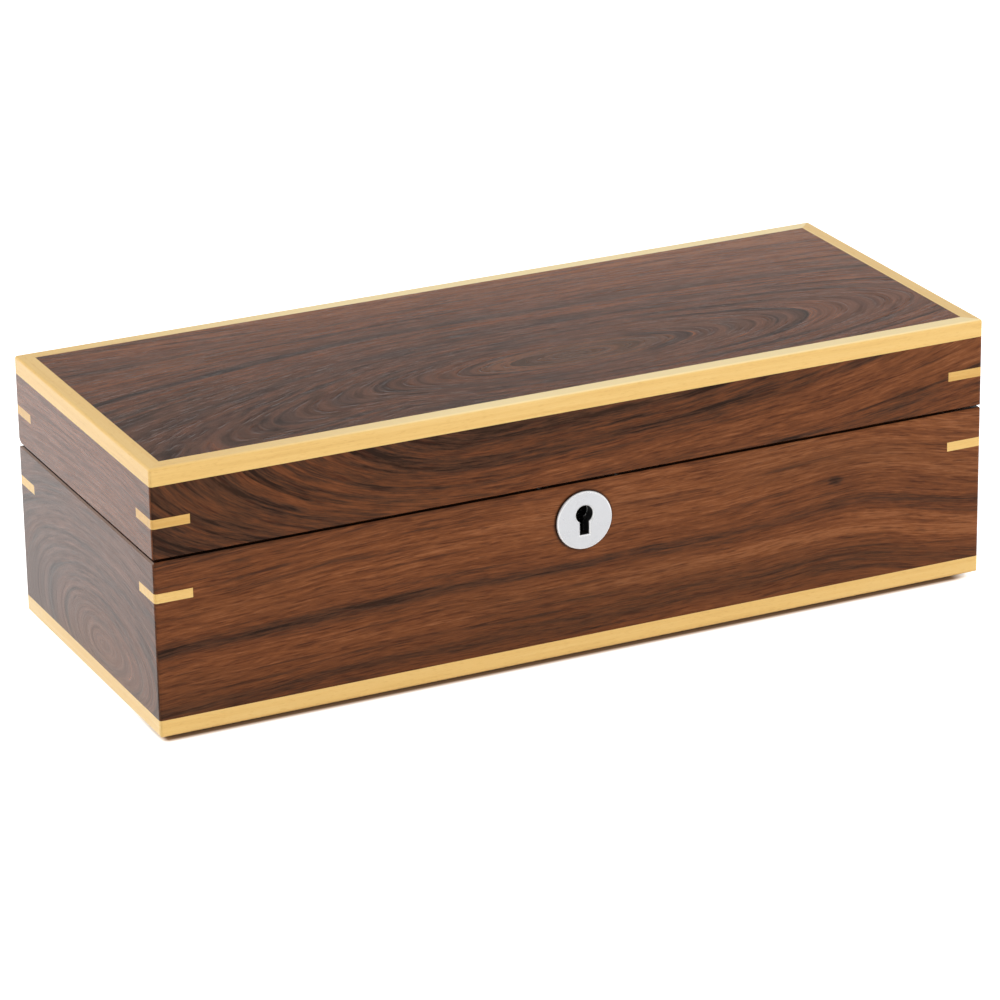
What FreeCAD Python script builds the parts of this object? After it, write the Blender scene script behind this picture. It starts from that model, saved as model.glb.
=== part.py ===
"""Walnut watch box with maple edging, a hinged lid and a keyed lock, for five watches.

X runs along the box, Y from front to back and Z up. The origin is the middle of the
underside of the felt, so the closed box stands on Z = 0. Sizes are in millimetres.
"""

import FreeCAD, Part
import os
from FreeCAD import Placement, Rotation, Vector

WATCH_COUNT = 5

SIZES = (
    # outside of the closed box
    ("box_length", 300.0),
    ("box_depth", 120.0),
    ("base_height", 59.9),
    ("lid_height", 30.5),
    ("seam_gap", 0.8),
    ("felt_thickness", 1.0),
    ("felt_inset", 3.0),
    # walnut walls, mitred at the corners
    ("wall_thickness", 10.0),
    ("edge_radius", 1.0),
    ("foot_radius", 1.2),
    ("base_rim_chamfer", 0.6),
    ("lid_rim_chamfer", 0.3),
    ("lid_back_radius", 4.2),
    ("base_back_radius", 2.5),
    # maple edging and the splines across the mitres
    ("base_band_height", 6.0),
    ("lid_band_height", 6.0),
    ("lid_band_width", 5.5),
    ("spline_thickness", 3.2),
    ("spline_leg", 13.0),
    ("base_spline_drop", 12.2),
    ("lid_spline_rise", 12.0),
    # bottom panel, held in a rebate of the walls
    ("rebate_depth", 4.0),
    ("bottom_flange", 3.5),
    ("fit_clearance", 0.1),
    # linings, dividers and cushions
    ("floor_lining_thickness", 2.0),
    ("liner_thickness", 2.5),
    ("liner_lip", 4.0),
    ("liner_clearance", 0.4),
    ("divider_thickness", 4.0),
    ("divider_height", 40.0),
    ("cushion_length", 72.0),
    ("cushion_height", 38.0),
    ("cushion_side_gap", 1.5),
    ("cushion_seat_gap", 0.2),
    ("cushion_corner_radius", 13.0),
    ("cushion_foot_radius", 6.5),
    ("cushion_crown", 2.5),
    ("lid_pad_thickness", 4.0),
    ("lid_lining_thickness", 2.0),
    ("lip_clearance", 0.2),
    # hinges, sunk in the notch along the back of the seam
    ("hinge_inset", 55.0),
    ("hinge_length", 30.0),
    ("leaf_thickness", 1.0),
    ("leaf_width", 6.5),
    ("pivot_inset", 1.9),
    ("knuckle_radius", 1.8),
    ("knuckle_gap", 0.15),
    ("barrel_relief", 0.3),
    ("pin_radius", 0.8),
    ("pin_clearance", 0.05),
    ("hinge_screw_end", 6.0),
    ("hinge_screw_inset", 2.3),
    # countersunk screws
    ("screw_length", 8.0),
    ("screw_shank_radius", 0.8),
    ("screw_head_radius", 1.6),
    ("screw_head_depth", 0.8),
    ("screw_slot_width", 0.4),
    ("screw_slot_depth", 0.35),
    # lock and strike
    ("lock_sheet", 0.8),
    ("lock_plate_width", 8.0),
    ("lock_plate_thickness", 1.2),
    ("lock_screw_margin", 3.8),
    ("lock_plate_end", 3.0),
    ("case_margin", 2.5),
    ("bolt_throw", 3.5),
    ("bolt_thickness", 3.5),
    ("bolt_bar_height", 5.0),
    ("bolt_bridge", 2.3),
    ("bolt_cheek", 2.5),
    ("bolt_clearance", 0.3),
    ("talon_width", 5.0),
    ("talon_depth", 2.8),
    ("finger_drop", 1.4),
    ("finger_height", 2.0),
    ("finger_width", 1.6),
    ("finger_lead", 0.6),
    ("staple_spacing", 28.0),
    ("staple_thickness", 1.5),
    ("staple_width", 3.4),
    ("staple_rim", 1.2),
    ("staple_clearance", 0.4),
    ("spring_space", 1.6),
    ("spring_thickness", 0.35),
    ("spring_length", 22.0),
    ("spring_height", 2.0),
    ("spring_clearance", 0.1),
    # escutcheon and its keyhole
    ("escutcheon_radius", 10.0),
    ("escutcheon_thickness", 1.2),
    ("escutcheon_edge", 0.6),
    ("escutcheon_drop", 12.9),
    ("spigot_wall", 1.4),
    ("keyhole_rise", 2.0),
    ("keyhole_radius", 3.1),
    ("keyhole_slot_width", 3.4),
    ("keyhole_slot_drop", 7.1),
    ("keyhole_bevel", 0.4),
)

doc = FreeCAD.newDocument("watch_box")
sheet = doc.addObject("Spreadsheet::Sheet", "Sizes")
for row, (alias, value) in enumerate(SIZES, start=1):
    sheet.set(f"A{row}", alias)
    sheet.set(f"B{row}", str(value))
    sheet.setAlias(f"B{row}", alias)
doc.recompute()

# Levels and planes that several pieces share, as formulas on the sheet
HALF_LENGTH = "(Sizes.box_length / 2)"
HALF_DEPTH = "(Sizes.box_depth / 2)"
WALL = "Sizes.wall_thickness"
UNDERSIDE = "Sizes.felt_thickness"
RIM = "(Sizes.felt_thickness + Sizes.base_height)"
LID_FOOT = f"({RIM} + Sizes.seam_gap)"
LID_TOP = f"({LID_FOOT} + Sizes.lid_height)"
BASE_WALL_FOOT = f"({UNDERSIDE} + Sizes.base_band_height)"
LID_WALL_TOP = f"({LID_TOP} - Sizes.lid_band_height)"
FLOOR = f"({BASE_WALL_FOOT} + Sizes.bottom_flange)"
INNER_X = f"({HALF_LENGTH} - {WALL})"
INNER_Y = f"({HALF_DEPTH} - {WALL})"

nodes = {}


def bind(item, **formulas):
    """Binds the item's properties to formulas on the sheet."""
    for name, formula in formulas.items():
        item.setExpression(name, formula)
    return item


def place(item, x="0", y="0", z="0", turn=None):
    """Puts the item's own origin at x, y, z, after an optional turn."""
    if turn:
        item.Placement = Placement(Vector(), turn)
    for axis, formula in zip("xyz", (x, y, z)):
        item.setExpression(f"Placement.Base.{axis}", formula)
    return item


def box(name, size, low):
    """A box of the given size whose lowest corner is at low."""
    item = bind(doc.addObject("Part::Box", name), Length=size[0], Width=size[1], Height=size[2])
    return place(item, *low)


def middle(size, centre="0"):
    """The low end of a length that is centred."""
    return f"({centre}) - ({size}) / 2"


ALONG = {
    "x": Rotation(Vector(0, 1, 0), 90),
    "y": Rotation(Vector(1, 0, 0), -90),
    "z": Rotation(),
}


def cylinder(name, radius, length, start, axis):
    """A cylinder that runs from start along the axis."""
    item = bind(doc.addObject("Part::Cylinder", name), Radius=radius, Height=length)
    return place(item, *start, turn=ALONG[axis])


def fuse(name, *items):
    whole = doc.addObject("Part::MultiFuse", name)
    whole.Shapes = list(items)
    whole.Refine = True
    return whole


def common(name, base, tool):
    kept = doc.addObject("Part::Common", name)
    kept.Base = base
    kept.Tool = tool
    kept.Refine = True
    return kept


def cut(name, base, *tools):
    """The base with each tool cut out of it in turn; the last cut has the given name."""
    for step, tool in enumerate(tools, start=1):
        last = step == len(tools)
        result = doc.addObject("Part::Cut", name if last else f"{name}_cut_{step}")
        result.Base = base
        result.Tool = tool
        result.Refine = True
        base = result
    return base


def group(name, items):
    """Separate solids that share one node."""
    bundle = doc.addObject("Part::Compound", name)
    bundle.Links = list(items)
    return bundle


def node(name, item):
    nodes[name] = item
    return item


# Mitred boards: each side's outer face, its length and the turn that puts it there
SIDES = {
    "front": (0, "Sizes.box_length", "0", f"-{HALF_DEPTH}"),
    "right": (90, "Sizes.box_depth", HALF_LENGTH, "0"),
    "back": (180, "Sizes.box_length", "0", HALF_DEPTH),
    "left": (270, "Sizes.box_depth", f"-{HALF_LENGTH}", "0"),
}
INWARD = {"front": ("0", "1"), "right": ("-1", "0"), "back": ("0", "-1"), "left": ("1", "0")}


def board(name, side, thickness, level, height, inset="0"):
    """A board with both ends mitred, its outer face inset from the outside of the box."""
    angle, run, x, y = SIDES[side]
    step_x, step_y = INWARD[side]
    half = f"(({run}) / 2 - ({inset}))"
    item = bind(
        doc.addObject("Part::Wedge", name),
        Xmin=f"-{half}",
        Xmax=half,
        X2min=f"({thickness}) - {half}",
        X2max=f"{half} - ({thickness})",
        Ymin="0",
        Ymax=thickness,
        Zmin="0",
        Zmax=height,
        Z2min="0",
        Z2max=height,
    )
    turn = Rotation(Vector(0, 0, 1), angle)
    return place(item, f"{x} + {step_x} * ({inset})", f"{y} + {step_y} * ({inset})", level, turn=turn)


# Outer forms: the glued-up base and lid are each shaped as one, so every outer piece is
# trimmed to its form
def rounded_block(name, level, height, radius, wanted):
    """The full outside block, rounded along the edges that are wanted: upright, top or bottom."""
    body = doc.addObject("PartDesign::Body", f"{name}_block")
    block = body.newObject("PartDesign::AdditiveBox", f"{name}_blank")
    bind(block, Length="Sizes.box_length", Width="Sizes.box_depth", Height=height)
    place(block, f"-{HALF_LENGTH}", f"-{HALF_DEPTH}", level)
    doc.recompute()
    bounds = block.Shape.BoundBox
    rounded = []
    for number, edge in enumerate(block.Shape.Edges, start=1):
        rise = edge.CenterOfMass.z - bounds.Center.z
        kind = "upright"
        if abs(rise) > bounds.ZLength / 4:
            kind = "top" if rise > 0 else "bottom"
        if kind in wanted:
            rounded.append(f"Edge{number}")
    fillet = body.newObject("PartDesign::Fillet", f"{name}_rounding")
    fillet.Base = (block, rounded)
    bind(fillet, Radius=radius)
    body.Tip = fillet
    return body


def flare(name, level, height, chamfer, upwards):
    """A block that widens at 45 degrees away from the rim, which chamfers the rim."""
    item = bind(
        doc.addObject("Part::Wedge", name),
        Xmin=f"{chamfer} - {HALF_LENGTH}",
        Xmax=f"{HALF_LENGTH} - {chamfer}",
        Zmin=f"{chamfer} - {HALF_DEPTH}",
        Zmax=f"{HALF_DEPTH} - {chamfer}",
        X2min=f"{chamfer} - {HALF_LENGTH} - {height}",
        X2max=f"{HALF_LENGTH} - {chamfer} + {height}",
        Z2min=f"{chamfer} - {HALF_DEPTH} - {height}",
        Z2max=f"{HALF_DEPTH} - {chamfer} + {height}",
        Ymin="0",
        Ymax=height,
    )
    return place(item, z=level, turn=Rotation(Vector(1, 0, 0), 90 if upwards else -90))


def back_spandrel(name, radius, corner_level, upwards):
    """The sliver that is left outside a quarter round along the back of the rim."""
    margin = "Sizes.wall_thickness"
    length = f"(Sizes.box_length + 2 * {margin})"
    low_x = middle(length)
    centre_z = f"{corner_level} + {radius}" if upwards else f"{corner_level} - {radius}"
    low_z = f"{corner_level} - {margin}" if upwards else f"{corner_level} - {radius}"
    low_y = f"{HALF_DEPTH} - {radius}"
    thickness = f"{radius} + {margin}"
    strip = box(f"{name}_strip", (length, thickness, thickness), (low_x, low_y, low_z))
    roller = cylinder(f"{name}_roller", radius, length, (low_x, low_y, centre_z), "x")
    return cut(name, strip, roller)


base_form = cut(
    "base_form",
    common(
        "base_chamfered",
        common(
            "base_rounded",
            rounded_block("base_sides", UNDERSIDE, "Sizes.base_height", "Sizes.edge_radius", ("upright",)),
            rounded_block("base_foot", UNDERSIDE, "Sizes.base_height", "Sizes.foot_radius", ("bottom",)),
        ),
        flare("base_flare", RIM, "Sizes.base_height", "Sizes.base_rim_chamfer", upwards=False),
    ),
    back_spandrel("base_back_spandrel", "Sizes.base_back_radius", RIM, upwards=False),
)
lid_form = cut(
    "lid_form",
    common(
        "lid_chamfered",
        rounded_block("lid", LID_FOOT, "Sizes.lid_height", "Sizes.edge_radius", ("upright", "top")),
        flare("lid_flare", LID_FOOT, "Sizes.lid_height", "Sizes.lid_rim_chamfer", upwards=True),
    ),
    back_spandrel("lid_back_spandrel", "Sizes.lid_back_radius", LID_FOOT, upwards=True),
)

# Maple splines: a square prism stood on its edge at each corner is both the saw kerf in
# the two walls and, trimmed to the form, the spline that fills it
CORNERS = {
    "front_left": (f"-{HALF_LENGTH}", f"-{HALF_DEPTH}"),
    "front_right": (HALF_LENGTH, f"-{HALF_DEPTH}"),
    "back_right": (HALF_LENGTH, HALF_DEPTH),
    "back_left": (f"-{HALF_LENGTH}", HALF_DEPTH),
}


def spline_kerfs(part, form, centre_level):
    """Makes the part's four spline nodes and returns their kerfs by corner."""
    kerfs = {}
    for corner, (x, y) in CORNERS.items():
        kerf = doc.addObject("Part::Prism", f"{part}_kerf_{corner}")
        kerf.Polygon = 4
        bind(kerf, Circumradius="Sizes.spline_leg", Height="Sizes.spline_thickness")
        place(kerf, x, y, middle("Sizes.spline_thickness", centre_level))
        node(f"{part}_spline_{corner}", common(f"{part}_spline_{corner}", form, kerf))
        kerfs[corner] = kerf
    return kerfs


base_kerfs = spline_kerfs("base", base_form, f"{RIM} - Sizes.base_spline_drop")
lid_kerfs = spline_kerfs("lid", lid_form, f"{LID_FOOT} + Sizes.lid_spline_rise")


def kerfs_of(kerfs, side):
    """The two kerfs that are sawn through this side's ends."""
    return [kerf for corner, kerf in kerfs.items() if side in corner.split("_")]


# Screws: a slotted countersunk head flush with its plate; the plain body is the tool that
# countersinks the plate and pilots the wood
def screw(name, x, y, face_level, downwards):
    """Returns the slotted screw and its unslotted body."""
    turn = Rotation(Vector(1, 0, 0), 180) if downwards else Rotation()
    away = "-1" if downwards else "1"
    head = doc.addObject("Part::Cone", f"{name}_head")
    bind(
        head,
        Radius1="Sizes.screw_head_radius",
        Radius2="Sizes.screw_shank_radius",
        Height="Sizes.screw_head_depth",
    )
    place(head, x, y, face_level, turn=turn)
    shank = doc.addObject("Part::Cylinder", f"{name}_shank")
    bind(shank, Radius="Sizes.screw_shank_radius", Height="Sizes.screw_length - Sizes.screw_head_depth")
    place(shank, x, y, f"{face_level} + {away} * Sizes.screw_head_depth", turn=turn)
    body = fuse(f"{name}_body", head, shank)
    slot_low = f"{face_level} - Sizes.screw_slot_depth" if downwards else face_level
    slot = box(
        f"{name}_slot",
        ("2 * Sizes.screw_head_radius", "Sizes.screw_slot_width", "Sizes.screw_slot_depth"),
        (f"{x} - Sizes.screw_head_radius", middle("Sizes.screw_slot_width", y), slot_low),
    )
    return cut(name, body, slot), body


screws = {"base": [], "lid": []}

# Hinges: two leaves let into the rims, three knuckles and a pin, sunk in the back notch
PIVOT_Y = f"({HALF_DEPTH} - Sizes.pivot_inset)"
PIVOT_Z = f"({RIM} + Sizes.seam_gap / 2)"
LEAF_LOW_Y = f"({PIVOT_Y} - Sizes.leaf_width)"
KNUCKLE = "(Sizes.hinge_length / 3)"
# Each leaf: the level of its underside, the face its screws are driven from, whether they
# go down from there, and which of the three knuckles belong to the other leaf
LEAVES = {
    "base": (f"{RIM} - Sizes.leaf_thickness", RIM, True, (1,)),
    "lid": (LID_FOOT, LID_FOOT, False, (0, 2)),
}


def pivot_cylinder(name, radius, start, length):
    """A cylinder on the hinges' axis."""
    return cylinder(name, radius, length, (start, PIVOT_Y, PIVOT_Z), "x")


def knuckle_room(name, low_x, number):
    """The room for one of the other leaf's knuckles, with a running gap all round."""
    start = f"{low_x} + {number} * {KNUCKLE} - Sizes.knuckle_gap / 2"
    reach = "Sizes.knuckle_radius + Sizes.knuckle_gap"
    return pivot_cylinder(name, reach, start, f"{KNUCKLE} + Sizes.knuckle_gap")


def screw_pair(name, part, half_spacing, y, face, downwards, centre="0"):
    """Two screws side by side along X; returns their unslotted bodies."""
    pilots = []
    for place_name, sign in (("first", "-1"), ("last", "1")):
        x = f"({centre} + {sign} * {half_spacing})"
        made, pilot = screw(f"{name}_{place_name}", x, y, face, downwards)
        screws[part].append(made)
        pilots.append(pilot)
    return pilots


def hinge_leaf(side, part, x):
    """Makes one leaf and its screws; returns the tools that let them into the wall."""
    low_level, face, downwards, other_knuckles = LEAVES[part]
    name = f"hinge_{part}_leaf_{side}"
    low_x = f"({x} - Sizes.hinge_length / 2)"
    length = "Sizes.hinge_length"
    spare = "Sizes.fit_clearance"
    plate_size = (length, "Sizes.leaf_width", "Sizes.leaf_thickness")
    plate = box(f"{name}_plate", plate_size, (low_x, LEAF_LOW_Y, low_level))
    barrel = pivot_cylinder(f"{name}_barrel", "Sizes.knuckle_radius", low_x, length)
    bore = pivot_cylinder(f"{name}_bore", "Sizes.pin_radius + Sizes.pin_clearance", low_x, length)
    rooms = [knuckle_room(f"{name}_room_{number}", low_x, number) for number in other_knuckles]
    pilots = screw_pair(
        f"{name}_screw",
        part,
        "(Sizes.hinge_length / 2 - Sizes.hinge_screw_end)",
        f"({LEAF_LOW_Y} + Sizes.hinge_screw_inset)",
        face,
        downwards,
        centre=x,
    )
    node(name, cut(name, fuse(f"{name}_blank", plate, barrel), *rooms, bore, *pilots))
    mortise_low_x = f"{low_x} - {spare}"
    mortise_length = f"{length} + 2 * {spare}"
    pocket = box(
        f"{name}_pocket",
        (mortise_length, f"Sizes.leaf_width + Sizes.pivot_inset + {spare}", "Sizes.leaf_thickness"),
        (mortise_low_x, f"{LEAF_LOW_Y} - {spare}", low_level),
    )
    relief_radius = "Sizes.knuckle_radius + Sizes.barrel_relief"
    relief = pivot_cylinder(f"{name}_relief", relief_radius, mortise_low_x, mortise_length)
    return [pocket, relief, *pilots]


base_back_tools, lid_back_tools, pins = [], [], []
for side, sign in (("left", "-1"), ("right", "1")):
    hinge_x = f"({sign} * ({HALF_LENGTH} - Sizes.hinge_inset))"
    base_back_tools += hinge_leaf(side, "base", hinge_x)
    lid_back_tools += hinge_leaf(side, "lid", hinge_x)
    pin_start = f"{hinge_x} - Sizes.hinge_length / 2"
    pins.append(pivot_cylinder(f"hinge_pin_{side}", "Sizes.pin_radius", pin_start, "Sizes.hinge_length"))
node("hinge_pins", group("hinge_pins", pins))

# Keyhole: a round with a slot below it, through the escutcheon and the lock's front plate
WALL_FACE = f"({WALL} - {HALF_DEPTH})"
LOCK_DEPTH = "(2 * Sizes.lock_sheet + Sizes.bolt_clearance + Sizes.bolt_thickness + Sizes.spring_space)"
LOCK_FRONT = f"({WALL_FACE} - {LOCK_DEPTH})"
ESCUTCHEON_Z = f"({RIM} - Sizes.escutcheon_drop)"
KEY_Z = f"({ESCUTCHEON_Z} + Sizes.keyhole_rise)"
PLATE_FRONT = f"(-{HALF_DEPTH} - Sizes.escutcheon_thickness)"
SPIGOT_RADIUS = "(Sizes.keyhole_slot_drop - Sizes.keyhole_rise + Sizes.spigot_wall)"
SPIGOT_LENGTH = f"({WALL} - {LOCK_DEPTH} - Sizes.fit_clearance)"

keyhole_length = f"{LOCK_FRONT} + Sizes.lock_sheet - {PLATE_FRONT}"
keyhole = fuse(
    "keyhole",
    cylinder("keyhole_round", "Sizes.keyhole_radius", keyhole_length, ("0", PLATE_FRONT, KEY_Z), "y"),
    box(
        "keyhole_slot",
        ("Sizes.keyhole_slot_width", keyhole_length, "Sizes.keyhole_slot_drop"),
        (middle("Sizes.keyhole_slot_width"), PLATE_FRONT, f"{KEY_Z} - Sizes.keyhole_slot_drop"),
    ),
)


def keyhole_mouth():
    """The bevel round the keyhole in the plate's face: a cone and a tapered block."""
    wide = "(Sizes.keyhole_radius + Sizes.keyhole_bevel)"
    cone = doc.addObject("Part::Cone", "keyhole_mouth_round")
    bind(cone, Radius1=wide, Radius2="Sizes.keyhole_radius", Height="Sizes.keyhole_bevel")
    place(cone, "0", PLATE_FRONT, KEY_Z, turn=ALONG["y"])
    half = "Sizes.keyhole_slot_width / 2"
    slot = bind(
        doc.addObject("Part::Wedge", "keyhole_mouth_slot"),
        Xmin=f"-1 * ({half} + Sizes.keyhole_bevel)",
        Xmax=f"{half} + Sizes.keyhole_bevel",
        X2min=f"-1 * {half}",
        X2max=half,
        Ymin="0",
        Ymax="Sizes.keyhole_bevel",
        Zmin="-1 * (Sizes.keyhole_slot_drop + Sizes.keyhole_bevel)",
        Zmax="0",
        Z2min="-1 * Sizes.keyhole_slot_drop",
        Z2max="0",
    )
    place(slot, "0", PLATE_FRONT, KEY_Z)
    return fuse("keyhole_mouth", cone, slot)


def escutcheon():
    """A round plate with a softened rim, on a spigot that fits a bore in the front wall."""
    body = doc.addObject("PartDesign::Body", "escutcheon_disc")
    plate = body.newObject("PartDesign::AdditiveCylinder", "escutcheon_plate")
    bind(plate, Radius="Sizes.escutcheon_radius", Height="Sizes.escutcheon_thickness")
    place(plate, "0", PLATE_FRONT, ESCUTCHEON_Z, turn=ALONG["y"])
    doc.recompute()
    front = plate.Shape.BoundBox.YMin
    rim = [
        f"Edge{number}"
        for number, edge in enumerate(plate.Shape.Edges, start=1)
        if edge.BoundBox.YLength < sheet.escutcheon_thickness / 2
        and edge.BoundBox.YMin - front < sheet.escutcheon_thickness / 2
    ]
    softened = body.newObject("PartDesign::Fillet", "escutcheon_softened")
    softened.Base = (plate, rim)
    bind(softened, Radius="Sizes.escutcheon_edge")
    body.Tip = softened
    spigot = cylinder(
        "escutcheon_spigot", SPIGOT_RADIUS, SPIGOT_LENGTH, ("0", f"-{HALF_DEPTH}", ESCUTCHEON_Z), "y"
    )
    return cut("escutcheon", fuse("escutcheon_whole", body, spigot), keyhole, keyhole_mouth())


node("escutcheon", escutcheon())
spigot_bore = cylinder(
    "spigot_bore",
    f"{SPIGOT_RADIUS} + Sizes.fit_clearance",
    f"{WALL} - {LOCK_DEPTH}",
    ("0", f"-{HALF_DEPTH}", ESCUTCHEON_Z),
    "y",
)

# Lock: a sheet-metal case under a plate let into the rim, closed by a cap, with a bolt
# that the key throws sideways through the strike's two staples
BOLT_TOP = f"({RIM} - Sizes.lock_plate_thickness - Sizes.bolt_clearance)"
BOLT_FRONT = f"({LOCK_FRONT} + Sizes.lock_sheet + Sizes.bolt_clearance)"
BOLT_BACK = f"({BOLT_FRONT} + Sizes.bolt_thickness)"
BOLT_MIDDLE = f"({BOLT_FRONT} + Sizes.bolt_thickness / 2)"
FINGER_TOP = f"({BOLT_TOP} - Sizes.finger_drop)"
FINGER_FOOT = f"({FINGER_TOP} - Sizes.finger_height)"
STAPLE_FOOT = f"({FINGER_FOOT} - Sizes.bolt_clearance - Sizes.staple_rim)"
GAP_FLOOR = f"({STAPLE_FOOT} - Sizes.staple_clearance)"
END_FOOT = f"({GAP_FLOOR} - Sizes.bolt_bridge)"
HALF_STAPLE = "(Sizes.staple_thickness / 2)"
GAP_REACH = f"(Sizes.staple_spacing / 2 + {HALF_STAPLE} + Sizes.bolt_throw + Sizes.bolt_clearance)"
END_REACH = f"({GAP_REACH} + Sizes.bolt_cheek)"
CASE_INNER = f"({END_REACH} + Sizes.bolt_clearance)"
CASE_OUTER = f"({CASE_INNER} + Sizes.lock_sheet)"
CASE_FOOT = f"({KEY_Z} - Sizes.keyhole_slot_drop - Sizes.case_margin)"
CAP_FRONT = f"({WALL_FACE} - Sizes.lock_sheet)"
PLATE_LOW_Y = f"({WALL_FACE} - Sizes.lock_plate_width)"
PLATE_MIDDLE_Y = f"({WALL_FACE} - Sizes.lock_plate_width / 2)"
LOCK_SCREW_X = f"({CASE_OUTER} + Sizes.lock_screw_margin)"
PLATE_HALF = f"({LOCK_SCREW_X} + Sizes.lock_plate_end)"
PLATE_FOOT = f"({RIM} - Sizes.lock_plate_thickness)"
STAPLES = {"first": "(-1 * Sizes.staple_spacing / 2)", "last": "(Sizes.staple_spacing / 2)"}


def lock_plate(name, level):
    """The flat plate that both the lock and the strike are screwed on by."""
    return box(
        name,
        (f"2 * {PLATE_HALF}", "Sizes.lock_plate_width", "Sizes.lock_plate_thickness"),
        (f"-1 * {PLATE_HALF}", PLATE_LOW_Y, level),
    )


def plate_pocket(name, level):
    """The shallow mortise that the plate lies in."""
    spare = "Sizes.fit_clearance"
    half = f"({PLATE_HALF} + {spare})"
    return box(
        name,
        (f"2 * {half}", f"Sizes.lock_plate_width + {spare}", "Sizes.lock_plate_thickness"),
        (f"-1 * {half}", f"{PLATE_LOW_Y} - {spare}", level),
    )


def staple_box(name, place_name, grow, foot, head):
    """A staple's block, or with grow the room that it passes through."""
    thickness = f"Sizes.staple_thickness + 2 * {grow}"
    width = f"Sizes.staple_width + 2 * {grow}"
    return box(
        f"{name}_{place_name}",
        (thickness, width, f"{head} - {foot}"),
        (middle(thickness, STAPLES[place_name]), middle(width, BOLT_MIDDLE), foot),
    )


lock_pilots = screw_pair("lock_screw", "base", LOCK_SCREW_X, PLATE_MIDDLE_Y, RIM, downwards=True)
case_shell = cut(
    "lock_case_shell",
    box(
        "lock_case_outside",
        (f"2 * {CASE_OUTER}", f"{LOCK_DEPTH} - Sizes.lock_sheet", f"{PLATE_FOOT} - {CASE_FOOT}"),
        (f"-1 * {CASE_OUTER}", LOCK_FRONT, CASE_FOOT),
    ),
    box(
        "lock_case_inside",
        (f"2 * {CASE_INNER}", LOCK_DEPTH, f"{PLATE_FOOT} - {CASE_FOOT} - Sizes.lock_sheet"),
        (f"-1 * {CASE_INNER}", f"{LOCK_FRONT} + Sizes.lock_sheet", f"{CASE_FOOT} + Sizes.lock_sheet"),
    ),
)
node(
    "lock_case",
    cut(
        "lock_case",
        fuse("lock_case_whole", case_shell, lock_plate("lock_face_plate", PLATE_FOOT)),
        *[staple_box("lock_slot", name, "Sizes.staple_clearance", PLATE_FOOT, RIM) for name in STAPLES],
        keyhole,
        *lock_pilots,
    ),
)
node(
    "lock_cap",
    box(
        "lock_cap",
        (f"2 * {CASE_OUTER}", "Sizes.lock_sheet", f"{PLATE_FOOT} - {CASE_FOOT}"),
        (f"-1 * {CASE_OUTER}", CAP_FRONT, CASE_FOOT),
    ),
)
case_pocket = box(
    "lock_case_pocket",
    (f"2 * ({CASE_OUTER} + Sizes.fit_clearance)", WALL, f"{RIM} - {CASE_FOOT} + Sizes.fit_clearance"),
    (f"-1 * ({CASE_OUTER} + Sizes.fit_clearance)", LOCK_FRONT, f"{CASE_FOOT} - Sizes.fit_clearance"),
)
base_front_tools = [spigot_bore, case_pocket, plate_pocket("lock_plate_pocket", PLATE_FOOT), *lock_pilots]


def bolt():
    """A bar with a talon for the key and, at each end, a hooked gap for a staple."""
    bolt_y = "Sizes.bolt_thickness"
    bar = box(
        "bolt_bar",
        (f"2 * {END_REACH} - Sizes.bolt_throw", bolt_y, "Sizes.bolt_bar_height"),
        (f"-1 * {END_REACH}", BOLT_FRONT, f"{BOLT_TOP} - Sizes.bolt_bar_height"),
    )
    solids, gaps, fingers = [bar], [], []
    for name, x in STAPLES.items():
        gap_low = f"({x} - {HALF_STAPLE} - Sizes.bolt_throw - Sizes.bolt_clearance)"
        gap_width = "(Sizes.staple_thickness + Sizes.bolt_throw + 2 * Sizes.bolt_clearance)"
        solids.append(
            box(
                f"bolt_end_{name}",
                (f"{gap_width} + 2 * Sizes.bolt_cheek", bolt_y, f"{BOLT_TOP} - {END_FOOT}"),
                (f"{gap_low} - Sizes.bolt_cheek", BOLT_FRONT, END_FOOT),
            )
        )
        gaps.append(
            box(
                f"bolt_gap_{name}",
                (gap_width, bolt_y, f"{BOLT_TOP} - {GAP_FLOOR}"),
                (gap_low, BOLT_FRONT, GAP_FLOOR),
            )
        )
        fingers.append(
            box(
                f"bolt_finger_{name}",
                (
                    "Sizes.bolt_throw + Sizes.bolt_clearance - Sizes.finger_lead + Sizes.bolt_cheek",
                    "Sizes.finger_width",
                    "Sizes.finger_height",
                ),
                (f"{gap_low} - Sizes.bolt_cheek", middle("Sizes.finger_width", BOLT_MIDDLE), FINGER_FOOT),
            )
        )
    talon = box(
        "bolt_talon",
        ("Sizes.talon_width", bolt_y, "Sizes.talon_depth"),
        (middle("Sizes.talon_width"), BOLT_FRONT, f"{BOLT_TOP} - Sizes.bolt_bar_height"),
    )
    return fuse("lock_bolt", cut("bolt_gapped", fuse("bolt_blank", *solids), *gaps, talon), *fingers)


node("lock_bolt", bolt())


def spring():
    """A bowed strip between the bolt's back and the cap, whose drag holds the bolt."""
    sag = "(Sizes.spring_space - Sizes.spring_clearance - Sizes.spring_thickness)"
    radius = f"((Sizes.spring_length ^ 2 / 4 + {sag} ^ 2) / (2 * {sag}))"
    outer = f"({radius} + Sizes.spring_thickness)"
    centre_y = f"({BOLT_BACK} + Sizes.spring_clearance + {outer})"
    foot = f"({BOLT_TOP} - Sizes.spring_height)"
    ring = cut(
        "spring_ring",
        cylinder("spring_outside", outer, "Sizes.spring_height", ("0", centre_y, foot), "z"),
        cylinder("spring_inside", radius, "Sizes.spring_height", ("0", centre_y, foot), "z"),
    )
    window = box(
        "spring_window",
        ("Sizes.spring_length", "Sizes.spring_space", "Sizes.spring_height"),
        (middle("Sizes.spring_length"), BOLT_BACK, foot),
    )
    return common("lock_spring", ring, window)


node("lock_spring", spring())

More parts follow.
